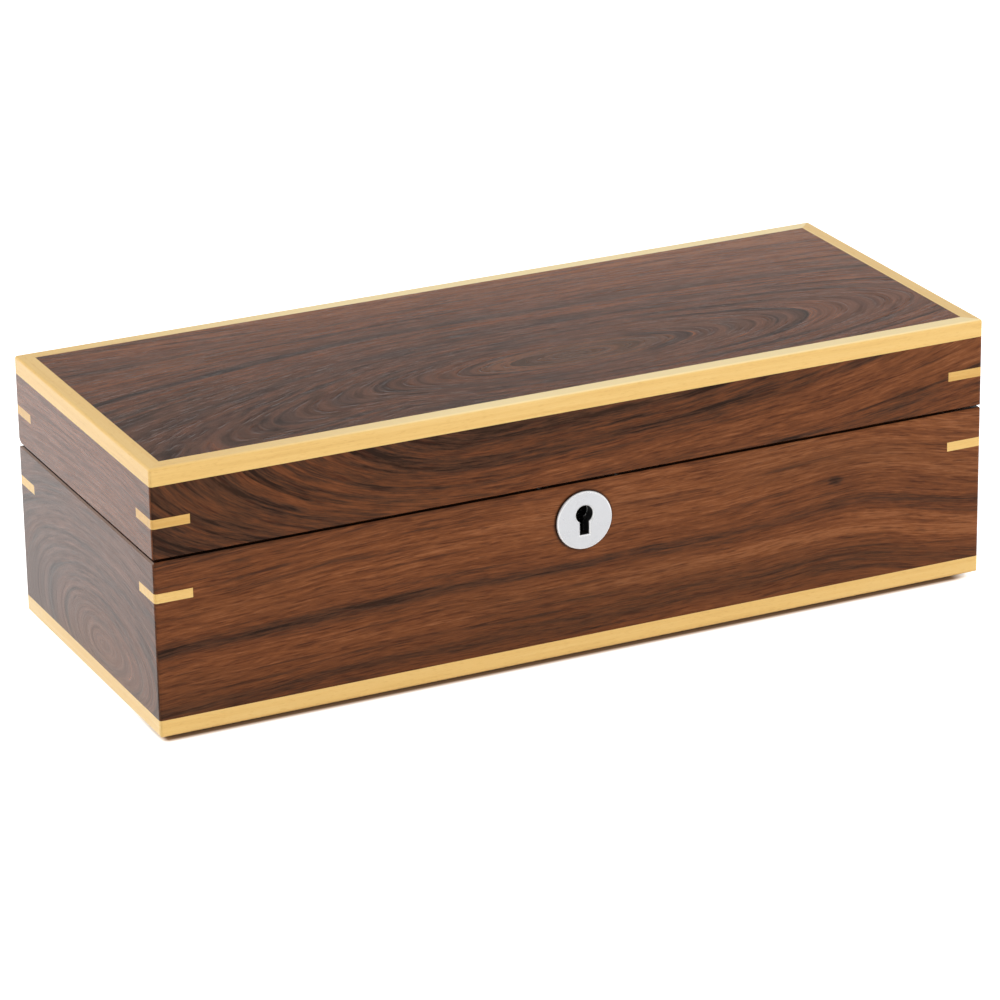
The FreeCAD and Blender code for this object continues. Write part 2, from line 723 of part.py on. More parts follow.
strike_pilots = screw_pair(
    "strike_screw", "lid", LOCK_SCREW_X, PLATE_MIDDLE_Y, LID_FOOT, downwards=False
)
eyes = [
    box(
        f"strike_eye_{name}",
        (
            "Sizes.staple_thickness",
            "Sizes.finger_width + 2 * Sizes.bolt_clearance",
            "Sizes.finger_height + 2 * Sizes.bolt_clearance",
        ),
        (
            middle("Sizes.staple_thickness", x),
            middle("Sizes.finger_width + 2 * Sizes.bolt_clearance", BOLT_MIDDLE),
            f"{FINGER_FOOT} - Sizes.bolt_clearance",
        ),
    )
    for name, x in STAPLES.items()
]
strike_staples = [staple_box("strike_staple", name, "0", STAPLE_FOOT, LID_FOOT) for name in STAPLES]
node(
    "strike_plate",
    cut(
        "strike_plate",
        fuse("strike_whole", lock_plate("strike_face_plate", LID_FOOT), *strike_staples),
        *eyes,
        *strike_pilots,
    ),
)
lid_front_tools = [plate_pocket("strike_pocket", LID_FOOT), *strike_pilots]
for part, made in screws.items():
    node(f"{part}_screws", group(f"{part}_screws", made))

# Base: four walls and the maple band under them, both mitred, round a rebated bottom
bottom_seat = box(
    "bottom_seat",
    (
        f"2 * ({INNER_X} + Sizes.rebate_depth)",
        f"2 * ({INNER_Y} + Sizes.rebate_depth)",
        "Sizes.bottom_flange",
    ),
    (
        f"-1 * ({INNER_X} + Sizes.rebate_depth)",
        f"-1 * ({INNER_Y} + Sizes.rebate_depth)",
        BASE_WALL_FOOT,
    ),
)
base_extra = {"front": base_front_tools, "back": base_back_tools}
for side in SIDES:
    wall = board(f"base_wall_{side}", side, WALL, BASE_WALL_FOOT, f"{RIM} - {BASE_WALL_FOOT}")
    shaped = common(f"base_wall_{side}_shaped", wall, base_form)
    tools = [*kerfs_of(base_kerfs, side), bottom_seat, *base_extra.get(side, [])]
    node(f"base_{side}", cut(f"base_{side}", shaped, *tools))
    band = board(f"base_strip_{side}", side, WALL, UNDERSIDE, "Sizes.base_band_height")
    node(f"base_band_{side}", common(f"base_band_{side}", band, base_form))

inside_x = f"({INNER_X} - Sizes.fit_clearance)"
inside_y = f"({INNER_Y} - Sizes.fit_clearance)"
flange_x = f"({INNER_X} + Sizes.rebate_depth - Sizes.fit_clearance)"
flange_y = f"({INNER_Y} + Sizes.rebate_depth - Sizes.fit_clearance)"
node(
    "bottom_panel",
    fuse(
        "bottom_panel",
        box(
            "bottom_core",
            (f"2 * {inside_x}", f"2 * {inside_y}", f"{FLOOR} - {UNDERSIDE}"),
            (f"-1 * {inside_x}", f"-1 * {inside_y}", UNDERSIDE),
        ),
        box(
            "bottom_tongue",
            (f"2 * {flange_x}", f"2 * {flange_y}", "Sizes.bottom_flange"),
            (f"-1 * {flange_x}", f"-1 * {flange_y}", BASE_WALL_FOOT),
        ),
    ),
)
felt_length = "(Sizes.box_length - 2 * Sizes.felt_inset)"
felt_width = "(Sizes.box_depth - 2 * Sizes.felt_inset)"
node(
    "base_felt",
    box(
        "base_felt",
        (felt_length, felt_width, "Sizes.felt_thickness"),
        (middle(felt_length), middle(felt_width), "0"),
    ),
)

# Lining of the base: four boards that stand a lip above the rim, a floor and dividers
liner_inset = f"({WALL} + Sizes.liner_clearance)"
for side in SIDES:
    height = f"{RIM} + Sizes.liner_lip - {FLOOR}"
    node(
        f"lining_{side}",
        board(f"lining_{side}", side, "Sizes.liner_thickness", FLOOR, height, inset=liner_inset),
    )
BAY_X = f"({HALF_LENGTH} - {liner_inset} - Sizes.liner_thickness)"
BAY_Y = f"({HALF_DEPTH} - {liner_inset} - Sizes.liner_thickness)"
BAY_FLOOR = f"({FLOOR} + Sizes.floor_lining_thickness)"
floor_x = f"({BAY_X} - Sizes.fit_clearance)"
floor_y = f"({BAY_Y} - Sizes.fit_clearance)"
node(
    "floor_lining",
    box(
        "floor_lining",
        (f"2 * {floor_x}", f"2 * {floor_y}", "Sizes.floor_lining_thickness"),
        (f"-1 * {floor_x}", f"-1 * {floor_y}", FLOOR),
    ),
)
CELL = f"((2 * {BAY_X} - {WATCH_COUNT - 1} * Sizes.divider_thickness) / {WATCH_COUNT})"
PITCH = f"({CELL} + Sizes.divider_thickness)"
for number in range(1, WATCH_COUNT):
    node(
        f"divider_{number}",
        box(
            f"divider_{number}",
            ("Sizes.divider_thickness", f"2 * {BAY_Y}", "Sizes.divider_height"),
            (f"{number} * {PITCH} - Sizes.divider_thickness - {BAY_X}", f"-1 * {BAY_Y}", BAY_FLOOR),
        ),
    )


# Cushions: the wrapped fabric is crowned along its width and drawn in at both ends
def cushion_section(x, length, height):
    """A closed outline across the cushion: a flat foot and rounded shoulders."""
    half = length / 2
    corner = sheet.cushion_corner_radius
    foot_corner = sheet.cushion_foot_radius
    diagonal = 1 - 2 ** -0.5

    def arc(corner_y, corner_z, radius, side_y, side_z):
        first = Vector(x, corner_y - side_y * radius, corner_z)
        last = Vector(x, corner_y, corner_z - side_z * radius)
        bend = Vector(x, corner_y - side_y * radius * diagonal, corner_z - side_z * radius * diagonal)
        return first, bend, last

    right_foot = arc(half, 0, foot_corner, 1, -1)
    right_top = arc(half, height, corner, 1, 1)
    left_top = arc(-half, height, corner, -1, 1)
    left_foot = arc(-half, 0, foot_corner, -1, -1)
    edges = [
        Part.LineSegment(left_foot[0], right_foot[0]).toShape(),
        Part.Arc(*right_foot).toShape(),
        Part.LineSegment(right_foot[2], right_top[2]).toShape(),
        Part.Arc(*reversed(right_top)).toShape(),
        Part.LineSegment(right_top[0], left_top[0]).toShape(),
        Part.Arc(*left_top).toShape(),
        Part.LineSegment(left_top[2], left_foot[2]).toShape(),
        Part.Arc(*reversed(left_foot)).toShape(),
    ]
    return Part.Wire(edges)


def cushion(name, centre_x):
    """A watch cushion lofted through its two ends and its fuller middle."""
    bay = sheet.box_length - 2 * (sheet.wall_thickness + sheet.liner_clearance + sheet.liner_thickness)
    cell = (bay - (WATCH_COUNT - 1) * sheet.divider_thickness) / WATCH_COUNT
    half_width = cell / 2 - sheet.cushion_side_gap
    end_length = sheet.cushion_length - 2 * sheet.cushion_crown
    end_height = sheet.cushion_height - sheet.cushion_crown
    sections = [
        cushion_section(-half_width, end_length, end_height),
        cushion_section(0, sheet.cushion_length, sheet.cushion_height),
        cushion_section(half_width, end_length, end_height),
    ]
    item = doc.addObject("Part::Feature", name)
    item.Shape = Part.makeLoft(sections, True, False)
    return place(item, centre_x, "0", f"{BAY_FLOOR} + Sizes.cushion_seat_gap")


for number in range(1, WATCH_COUNT + 1):
    centre = f"{number - 1} * {PITCH} + {CELL} / 2 - {BAY_X}"
    node(f"cushion_{number}", cushion(f"cushion_{number}", centre))

# Lid: four mitred walls, a walnut panel on top of them inside a mitred maple band, and
# its lining
lid_extra = {"front": lid_front_tools, "back": lid_back_tools}
LID_LINING_FOOT = f"({RIM} + Sizes.liner_lip + Sizes.lip_clearance)"
PAD_FOOT = f"({LID_WALL_TOP} - Sizes.lid_pad_thickness)"
for side in SIDES:
    wall = board(f"lid_wall_{side}", side, WALL, LID_FOOT, f"{LID_WALL_TOP} - {LID_FOOT}")
    shaped = common(f"lid_wall_{side}_shaped", wall, lid_form)
    tools = [*kerfs_of(lid_kerfs, side), *lid_extra.get(side, [])]
    node(f"lid_{side}", cut(f"lid_{side}", shaped, *tools))
    band = board(f"lid_strip_{side}", side, "Sizes.lid_band_width", LID_WALL_TOP, "Sizes.lid_band_height")
    node(f"lid_band_{side}", common(f"lid_band_{side}", band, lid_form))
    node(
        f"lid_lining_{side}",
        board(
            f"lid_lining_{side}",
            side,
            "Sizes.lid_lining_thickness",
            LID_LINING_FOOT,
            f"{PAD_FOOT} - {LID_LINING_FOOT}",
            inset=WALL,
        ),
    )
panel_length = "(Sizes.box_length - 2 * Sizes.lid_band_width)"
panel_width = "(Sizes.box_depth - 2 * Sizes.lid_band_width)"
node(
    "lid_panel",
    box(
        "lid_panel",
        (panel_length, panel_width, "Sizes.lid_band_height"),
        (middle(panel_length), middle(panel_width), LID_WALL_TOP),
    ),
)
node(
    "lid_pad",
    box(
        "lid_pad",
        (f"2 * {inside_x}", f"2 * {inside_y}", "Sizes.lid_pad_thickness"),
        (f"-1 * {inside_x}", f"-1 * {inside_y}", PAD_FOOT),
    ),
)

doc.recompute()

# Every object has to be sound before anything is written
for item in doc.Objects:
    if {"Invalid", "Error"} & set(item.State):
        raise RuntimeError(f"{item.Label} failed: {item.State}")
for name, item in nodes.items():
    item.Label = name
    shape = item.Shape
    if shape.isNull() or not shape.isValid() or not shape.Solids:
        raise RuntimeError(f"{name} has no sound solid")

os.makedirs("parts", exist_ok=True)
for name, item in nodes.items():
    item.Shape.exportStep(f"parts/{name}.step")
    print(f"{name}: {len(item.Shape.Solids)} solid(s), {item.Shape.Volume:.1f} mm3")
print(f"{len(nodes)} nodes")
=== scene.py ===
"""A long walnut watch box with maple edging: its woods, metals, velvet and cushions, on a white stage."""

import math

import bmesh
import bpy
import numpy as np
from mathutils import Matrix, Vector


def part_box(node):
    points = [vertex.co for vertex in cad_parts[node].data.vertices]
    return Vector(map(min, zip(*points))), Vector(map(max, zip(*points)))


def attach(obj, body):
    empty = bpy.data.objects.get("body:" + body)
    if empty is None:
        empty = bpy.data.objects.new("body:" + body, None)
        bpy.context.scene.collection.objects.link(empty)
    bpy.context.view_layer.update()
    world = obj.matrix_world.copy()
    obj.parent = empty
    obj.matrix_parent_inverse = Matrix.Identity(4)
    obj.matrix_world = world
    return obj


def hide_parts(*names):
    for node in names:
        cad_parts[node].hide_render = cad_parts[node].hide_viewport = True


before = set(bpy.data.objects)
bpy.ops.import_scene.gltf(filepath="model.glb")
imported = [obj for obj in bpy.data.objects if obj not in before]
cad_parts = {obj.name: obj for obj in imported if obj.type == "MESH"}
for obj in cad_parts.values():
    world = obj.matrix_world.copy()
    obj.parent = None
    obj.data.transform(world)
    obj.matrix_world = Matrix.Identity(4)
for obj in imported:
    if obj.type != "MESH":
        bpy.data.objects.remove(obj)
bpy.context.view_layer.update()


# Walls of the base: four walnut boards, glued at mitred corners under a satin lacquer. Each board
# shows the growth rings its own cut runs through, so each has a figure of its own.
class Finish:
    """One material in the making, with short ways to add its nodes and join them."""

    def __init__(self, name, **settings):
        self.material = bpy.data.materials.new(name)
        self.material.use_nodes = True
        self.nodes = self.material.node_tree.nodes
        self.links = self.material.node_tree.links
        self.shader = self.nodes["Principled BSDF"]
        for socket, value in settings.items():
            self.give(socket.replace("_", " ").title().replace("Ior", "IOR"), value)

    def give(self, socket, value):
        """Sets one of the shader's sockets to a constant, or feeds it from a node."""
        self.join(value, self.shader.inputs[socket])

    def join(self, value, socket):
        """Sets a socket to a constant, or feeds it from a node. None leaves it alone."""
        if value is None:
            return
        if isinstance(value, bpy.types.Node):
            value = value.outputs[0]
        if isinstance(value, bpy.types.NodeSocket):
            self.links.new(value, socket)
        else:
            socket.default_value = value

    def add(self, kind, *values, **settings):
        """Adds a node and fills its sockets in their order."""
        node = self.nodes.new("ShaderNode" + kind)
        for name, value in settings.items():
            setattr(node, name, value)
        for value, socket in zip(values, node.inputs):
            self.join(value, socket)
        return node

    def millimetres(self, turn=(0, 0, 0)):
        """Places on the piece in millimetres, turned to run along its grain."""
        return self.add("Mapping", self.add("TexCoord").outputs["Object"], None, turn, (1000, 1000, 1000))

    def sum(self, operation, *values):
        """One step of arithmetic."""
        return self.add("Math", *values, operation=operation)

    def scaled(self, vector, by, shift=(0, 0, 0)):
        """vector * by + shift, axis by axis"""
        return self.add("VectorMath", vector, by, shift, operation="MULTIPLY_ADD")

    def noise(self, vector, scale, detail=2, roughness=0.5):
        """Soft noise from 0 to 1, mostly near 0.5."""
        return self.add("TexNoise", vector, None, scale, detail, roughness)

    def swing(self, value, amount, start=0.0):
        """start + amount (value - 0.5)"""
        return self.sum("MULTIPLY_ADD", value, amount, start - amount / 2)

    def between(self, value, low, high, bottom=0.0, top=1.0):
        """Runs from bottom to top as the value runs from low to high, and stays there beyond them."""
        return self.add("MapRange", value, low, high, bottom, top)

    def ramp(self, value, stops):
        """Grey or coloured stops, as (place, shade)."""
        node = self.add("ValToRGB", value)
        band = node.color_ramp
        while len(band.elements) < len(stops):
            band.elements.new(0.5)
        for element, (place, shade) in zip(band.elements, stops):
            element.position = place
            element.color = (*np.broadcast_to(shade, 3), 1)
        return node

    def mixed(self, amount, first, second):
        """The first colour, turned into the second by an amount."""
        node = self.add("Mix", data_type="RGBA")
        for value, place in ((amount, 0), (first, 6), (second, 7)):
            self.join(value, node.inputs[place])
        return node.outputs[2]

    def grain(self, height, depth, strength=1.0):
        """Raises the surface by a height pattern, depth in metres."""
        bump = self.add("Bump")
        for socket, value in (("Height", height), ("Distance", depth), ("Strength", strength)):
            self.join(value, bump.inputs[socket])
        self.give("Normal", bump)


def dress(finish, *names):
    """Gives carried-over pieces their finish."""
    for name in names:
        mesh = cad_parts[name].data
        mesh.materials.clear()
        mesh.materials.append(finish.material)


# Turns that bring the length of the grain onto the first axis, and its width onto the third
ALONG_X = (0, 0, 0)
ALONG_Y = (0, 0, -math.pi / 2)
FLAT = (math.pi / 2, 0, 0)
WALNUT = ((0.0, (0.022, 0.008, 0.003)), (0.2, (0.062, 0.025, 0.012)), (0.4, (0.108, 0.036, 0.013)),
          (0.6, (0.158, 0.048, 0.015)), (0.8, (0.215, 0.068, 0.021)), (1.0, (0.290, 0.102, 0.036)))
LACQUER = dict(specular_ior_level=0.2, specular_tint=(0.06, 0.06, 0.06, 1), coat_weight=1.0, coat_ior=1.2,
               coat_roughness=0.1)
CLOUDY, HEARTWOOD = (0.118, 0.046, 0.017, 1), (0.175, 0.085, 0.042, 1)
DASHES, PORES = (0.055, 0.013, 0.004, 1), (0.030, 0.008, 0.003, 1)
# Painted colours: a thin shadow round the plate, shade in the seam at the rims, and a highlight on the end
# walls' chamfer
PLATE_SHADOW, SEAM_SHADE, CHAMFER_HIGHLIGHT = (0.012, 0.005, 0.002, 1), (0.006, 0.003, 0.002, 1), (0.30, 0.215, 0.17, 1)
# Half the box's length and depth, and the heights between which painted shade darkens the seam at the
# rims, in millimetres
HALF_LENGTH, HALF_DEPTH = 150, 60
FRONT_RIM = (60.7, 62.05)
END_RIM = (60.75, 61.85)


def walnut(name, turn, heart, reach, streaks, span, seed, fade=(0.0, 0.0), lines=0.25, ring=5.0,
           wander=7.0, depth=1.0, gloss=0.7, relief=0.00004, hump=None, tail=None, eye=None,
           knot=None, plate=None):
    """A walnut board. In millimetres along (l) and across (w) its grain, the rings it cuts are ovals
    about its heart: u = sqrt((w - w0)^2 + ((l - l0) / reach)^2), with one reach to each side.
    Slow noise bends them, and every finer mark is drawn out along them: streaks shades them over the
    span of u, fade from end to end, then come bands, flecks and fibres, dark streaks and dashes, the
    dark late edge of each ring beside its light early one, clearest where rings cross the board, and the
    pores. A hump (at, rise, spread) lifts the rings by rise exp(-((l - at) / spread)^2), and a tail (near,
    far, shift, squeeze) draws one end of the ovals aside and narrower. An eye is a paler heart out to
    that u, and a knot is a dark spot at (l, w). Painted shade darkens the seam along the rim's outer edge,
    a painted highlight pales the chamfer below it on the end walls, and a thin line of painted shadow
    rings the plate (l, w, radius)."""
    wood = Finish(name, **LACQUER)
    spot = wood.millimetres(turn)
    own = wood.add("VectorMath", spot, (seed * 311, seed * 173, seed * 97), operation="ADD")
    drift = wood.noise(wood.scaled(own, (0.011, 0.022, 0.022)), 1.0, 2)
    wave = wood.noise(wood.scaled(own, (0.020, 0.09, 0.09)), 1.0, 2)
    board = wood.add("SeparateXYZ", spot)
    length = wood.sum("SUBTRACT", board.outputs[0], heart[0])
    width = wood.sum("SUBTRACT", board.outputs[2], heart[1])
    width = wood.sum("ADD", width, wood.swing(drift, wander))
    width = wood.sum("ADD", width, wood.swing(wave, 1.4))
    left = wood.sum("MULTIPLY", wood.sum("MINIMUM", length, 0), 1 / reach[0])
    right = wood.sum("MULTIPLY", wood.sum("MAXIMUM", length, 0), 1 / reach[1])
    oval = wood.sum("ADD", left, right)
    if hump:
        at, rise, spread = hump
        away = wood.sum("MULTIPLY_ADD", board.outputs[0], 1 / spread, -at / spread)
        bell = wood.sum("EXPONENT", wood.sum("MULTIPLY", wood.sum("MULTIPLY", away, away), -1))
        width = wood.sum("SUBTRACT", width, wood.sum("MULTIPLY", bell, rise))
    if tail:
        near, far, shift, squeeze = tail
        stretch = wood.between(length, near, far)
        width = wood.sum("ADD", width, wood.sum(
            "MULTIPLY", stretch, wood.sum("MULTIPLY_ADD", width, -squeeze, shift)))
        oval = wood.sum("MULTIPLY", oval, wood.sum("MULTIPLY_ADD", stretch, -0.3, 1.0))
    rings = wood.sum("ADD", wood.sum("MULTIPLY", width, width), wood.sum("MULTIPLY", oval, oval))
    rings = wood.sum("SQRT", rings)
    flow = wood.add("VectorMath", wood.add("CombineXYZ", board.outputs[0], board.outputs[1], rings),
                    (seed * 311, seed * 173, seed * 97), operation="ADD")
    band = wood.noise(wood.scaled(flow, (0.007, 0.03, 0.20)), 1.0, 3, 0.6)
    fleck = wood.noise(wood.scaled(flow, (0.030, 0.2, 0.85)), 1.0, 4, 0.65)
    fibre = wood.noise(wood.scaled(flow, (0.13, 0.7, 1.7)), 1.0, 3, 0.7)
    dark = wood.noise(wood.scaled(flow, (0.018, 0.1, 0.45), (70, 0, 0)), 1.0, 4, 0.7)
    dash = wood.noise(wood.scaled(flow, (0.11, 0.5, 1.5), (90, 0, 0)), 1.0, 2, 0.6)
    edge = wood.sum("ADD", rings, wood.sum("ADD", wood.swing(fleck, 1.2), wood.swing(band, 5.0)))
    growth = wood.sum("FRACT", wood.sum("MULTIPLY", edge, 1 / ring))
    late = wood.ramp(growth, ((0, 0), (0.55, 0), (0.84, 0.45), (0.95, 1), (1, 0)))
    early = wood.ramp(growth, ((0, 1), (0.12, 0.6), (0.3, 0)))
    plain = wood.noise(wood.scaled(flow, (0.005, 0.02, 0.12), (40, 0, 0)), 1.0, 1)
    plain = wood.between(plain, 0.40, 0.60)
    across = wood.sum("DIVIDE", wood.sum("ABSOLUTE", oval), rings)
    plain = wood.sum("MULTIPLY", plain, wood.between(across, 0.3, 0.85, 0.3, 1.0))
    ringed = wood.sum("MULTIPLY", plain, wood.sum("SUBTRACT", wood.sum("MULTIPLY", early, 0.06), late))
    tone = wood.ramp(wood.between(edge, *span), streaks)
    tone = wood.sum("ADD", tone, wood.between(board.outputs[0], -HALF_LENGTH, HALF_LENGTH, *fade))
    for pattern, swing in ((band, 0.45 * depth), (fleck, 0.60 * depth), (fibre, 0.85 * depth)):
        tone = wood.sum("ADD", tone, wood.swing(pattern, swing))
    tone = wood.sum("MULTIPLY_ADD", wood.between(dark, 0.50, 0.72), -0.42 * depth, tone)
    tone = wood.sum("MULTIPLY_ADD", ringed, lines, tone)
    dash = wood.between(dash, 0.53, 0.72, 0, 0.62)
    pores = wood.noise(wood.scaled(flow, (0.14, 2.4, 2.4)), 1.0, 1, 0.5)
    pores = wood.between(pores, 0.60, 0.72)
    if knot:
        flat = wood.scaled(spot, (0.7, 0, 1))
        gap = wood.add("VectorMath", flat, (0.7 * knot[0], 0, knot[1]), operation="DISTANCE")
        gap = wood.sum("ADD", gap.outputs["Value"], wood.swing(fleck, 3.5))
        tone = wood.sum("SUBTRACT", tone, wood.ramp(wood.between(gap, 0, 8), (
            (0, 0.6), (0.15, 0.45), (0.26, 0.16), (0.6, 0.08), (1, 0))))
    colour = wood.ramp(tone, WALNUT)
    cloud = wood.noise(wood.scaled(flow, (0.012, 0.05, 0.06)), 1.0, 2)
    colour = wood.mixed(wood.between(cloud, 0.45, 0.8, 0, 0.35), colour, CLOUDY)
    if eye:
        colour = wood.mixed(wood.between(edge, eye + 0.6, eye - 0.6, 0, 0.3), colour, HEARTWOOD)
    colour = wood.mixed(dash, colour, DASHES)
    colour = wood.mixed(wood.sum("MULTIPLY", pores, 0.4), colour, PORES)
    # A thin line of painted shadow round the plate
    if plate:
        flat = wood.scaled(spot, (1, 0, 1))
        gap = wood.add("VectorMath", flat, (plate[0], 0, plate[1]), operation="DISTANCE")
        line = wood.between(gap.outputs["Value"], plate[2] + 0.9, plate[2] + 0.1, 0, 0.85)
        colour = wood.mixed(line, colour, PLATE_SHADOW)
    # Painted shade in the seam between lid and base, along the outer edge of each wall's rim
    if turn != FLAT:
        face, low, high = (HALF_DEPTH, *FRONT_RIM) if turn == ALONG_X else (HALF_LENGTH, *END_RIM)
        rim = wood.between(wood.sum("ABSOLUTE", board.outputs[1]), face - 2.2, face - 1.4)
        # On the end walls a painted highlight pales the chamfer just below the seam
        if turn == ALONG_Y:
            chamfer_highlight = wood.between(board.outputs[2], low - 0.5, low - 0.35, 0, 0.8)
            chamfer_highlight = wood.sum("MULTIPLY", rim, chamfer_highlight)
            chamfer_highlight = wood.sum("MULTIPLY", chamfer_highlight, wood.between(board.outputs[2], low + 0.1, low))
            colour = wood.mixed(chamfer_highlight, colour, CHAMFER_HIGHLIGHT)
        for near, far in ((low, low + 0.2), (high, high - 0.2)):
            rim = wood.sum("MULTIPLY", rim, wood.between(board.outputs[2], near, far))
        colour = wood.mixed(rim, colour, SEAM_SHADE)
    wood.give("Base Color", colour)
    wood.give("Roughness", wood.swing(fibre, 0.1, 0.23))
    shine = wood.sum("ADD", wood.swing(fibre, gloss, 0.7), wood.swing(fleck, gloss))
    wood.give("Coat Weight", wood.between(wood.sum("MULTIPLY_ADD", ringed, lines, shine), 0, 1))
    height = wood.sum("ADD", wood.sum("MULTIPLY", fibre, 0.4), wood.sum("MULTIPLY", fleck, 0.8))
    wood.grain(wood.sum("SUBTRACT", height, pores), relief, 0.5)
    return wood


dress(walnut("walnut_base_front", ALONG_X, (20, -139.1), (4.4, 2.9), (
    (0, 0.62), (0.06, 0.54), (0.12, 0.30), (0.18, 0.56), (0.32, 0.84), (0.42, 0.72), (0.48, 0.26),
    (0.54, 0.54), (0.66, 0.80), (0.82, 0.78), (0.92, 0.74), (1, 0.70)), (146, 202), 1, (-0.06, 0.09),
    lines=0.14, depth=1.15, hump=(105, 4, 30), knot=(94, 44.2), plate=(0, 48, 10)), "base_front")
dress(walnut("walnut_base_left", ALONG_Y, (-12, 15.9), (2.6, 2.3), (
    (0, 0.56), (0.3, 0.44), (0.5, 0.36), (0.75, 0.42), (1, 0.42)), (0, 52), 2, (0.1, -0.1), lines=0.12,
    gloss=1.1), "base_left")
dress(walnut("walnut_base_right", ALONG_Y, (10, -90), (3.4, 3.0), (
    (0, 0.70), (0.3, 0.56), (0.55, 0.76), (0.7, 0.56), (1, 0.7)), (96, 152), 3, lines=0.14), "base_right")
dress(walnut("walnut_base_back", ALONG_X, (-60, -150), (4.4, 4.8), (
    (0, 0.7), (0.25, 0.54), (0.45, 0.78), (0.62, 0.6), (0.8, 0.77), (1, 0.66)), (156, 212), 4,
    lines=0.14), "base_back")

# Maple edging of the base: four mitred strips under the walls, and a spline let into a saw cut
# across each corner, all flush with the walnut under the same lacquer.
CORNERS = ("front_left", "front_right", "back_left", "back_right")
MAPLE = ((0.0, (0.68, 0.39, 0.11)), (0.5, (0.85, 0.55, 0.19)),
         (0.8, (0.90, 0.62, 0.25)), (1.0, (0.94, 0.72, 0.36)))
# The colour of the painted highlight on the strips' upper faces
TOP_HIGHLIGHT = (0.98, 0.80, 0.44, 1)


def maple(name, turn, seed, pale, light=0.5):
    """Plain maple, its tone set by light from 0 to 1: faint long streaks, and short flecks across the
    fibres. A painted highlight pales its upper faces, more so to the right, up to pale."""
    wood = Finish(name, **LACQUER)
    spot = wood.millimetres(turn)
    own = wood.add("VectorMath", spot, (seed * 211, seed * 53, seed * 131), operation="ADD")
    streak = wood.noise(wood.scaled(own, (0.012, 0.5, 0.5)), 1.0, 3, 0.6)
    fibre = wood.noise(wood.scaled(own, (0.06, 2.4, 2.4)), 1.0, 2, 0.6)
    fleck = wood.between(wood.noise(wood.scaled(own, (0.45, 1.1, 3.0)), 1.0, 1), 0.58, 0.72)
    tone = wood.sum("ADD", wood.swing(streak, 0.7, light), wood.swing(fibre, 0.3))
    tone = wood.sum("SUBTRACT", tone, wood.sum("MULTIPLY", fleck, 0.16))
    # Painted highlight: faces that look up turn pale, more so to the right
    up = wood.add("SeparateXYZ", wood.add("NewGeometry").outputs["Normal"]).outputs[2]
    right = wood.between(wood.add("SeparateXYZ", spot).outputs[0], -140, -40, 0.1, pale)
    painted_top = wood.sum("MULTIPLY", wood.between(up, 0.5, 0.9), right)
    wood.give("Base Color", wood.mixed(painted_top, wood.ramp(tone, MAPLE), TOP_HIGHLIGHT))
    wood.give("Roughness", wood.swing(fibre, 0.12, 0.34))
    wood.grain(wood.sum("SUBTRACT", fibre, fleck), 0.00004, 0.6)
    return wood


maple_along = maple("maple_along", ALONG_X, 1, 0.85)
maple_across = maple("maple_across", ALONG_Y, 2, 0.1)
dress(maple_along, "base_band_front", "base_band_back")
# The base's end bands take a copy of the maple with painted light: a lighter tone that makes up for their
# shade near the floor
dress(maple("maple_foot_painted_light", ALONG_Y, 3, 0.1, 0.8), "base_band_left", "base_band_right")
dress(maple_along, *(f"base_spline_{corner}" for corner in CORNERS))

# Bottom of the base: a plain sanded board, let into rebates in the walls, and under it a sheet of
# dark pressed felt, glued on to spare the table it stands on.
board = Finish("bottom_board")
spot = board.millimetres()
streak = board.noise(board.scaled(spot, (0.01, 0.35, 0.35)), 1.0, 4, 0.6)
fibre = board.noise(board.scaled(spot, (0.06, 2.0, 2.0)), 1.0, 2)
board.give("Base Color", board.ramp(board.sum("ADD", streak, board.swing(fibre, 0.25)), (
    (0.25, (0.10, 0.055, 0.025)), (0.5, (0.17, 0.095, 0.045)), (0.8, (0.24, 0.14, 0.07)))))
board.give("Roughness", board.swing(fibre, 0.2, 0.7))
board.grain(fibre, 0.00008)
dress(board, "bottom_panel")

felt = Finish("felt", sheen_weight=0.15, sheen_roughness=0.6, specular_ior_level=0.1)
spot = felt.millimetres()
tufts = felt.noise(spot, 1.6, 4, 0.7)
felt.give("Base Color", felt.ramp(tufts, ((0.3, (0.010, 0.006, 0.004)), (0.7, (0.034, 0.020, 0.012)))))
felt.give("Roughness", felt.swing(tufts, 0.1, 0.92))
felt.grain(tufts, 0.0003)


def rounded_outline(width, height, radii, steps=7):
    """A rectangle about the origin with rounded corners, anticlockwise from its upper right: at each
    corner c + r (cos a, sin a) over a quarter turn. radii run in the same order."""
    quarter = np.linspace(0, math.pi / 2, steps)
    arcs = []
    for turn, (right, up), r in zip(range(4), ((1, 1), (-1, 1), (-1, -1), (1, -1)), radii):
        angle = quarter + turn * math.pi / 2
        arcs.append(np.stack((right * (width / 2 - r) + r * np.cos(angle),
                              up * (height / 2 - r) + r * np.sin(angle)), axis=1))
    return np.concatenate(arcs)


def skin(name, grid, finish, body, ends=True):
    """A closed skin over rows of points, each row a loop: quads from row to row, and a face over each
    end row, or the last row joined to the first."""
    rows, around = grid.shape[:2]
    index = np.arange(rows * around).reshape(rows, around)
    ahead = np.roll(index, -1, axis=1)
    upper, upper_ahead = np.roll(index, -1, axis=0), np.roll(ahead, -1, axis=0)
    faces = np.stack((index, ahead, upper_ahead, upper), axis=-1)
    faces = (faces[:-1] if ends else faces).reshape(-1, 4).tolist()
    if ends:
        faces += [index[0].tolist(), index[-1].tolist()]
    mesh = bpy.data.meshes.new(name)
    mesh.from_pydata(grid.reshape(-1, 3).tolist(), [], faces)
    work = bmesh.new()
    work.from_mesh(mesh)
    bmesh.ops.recalc_face_normals(work, faces=work.faces)
    work.to_mesh(mesh)
    work.free()
    return place(name, mesh, finish, body)


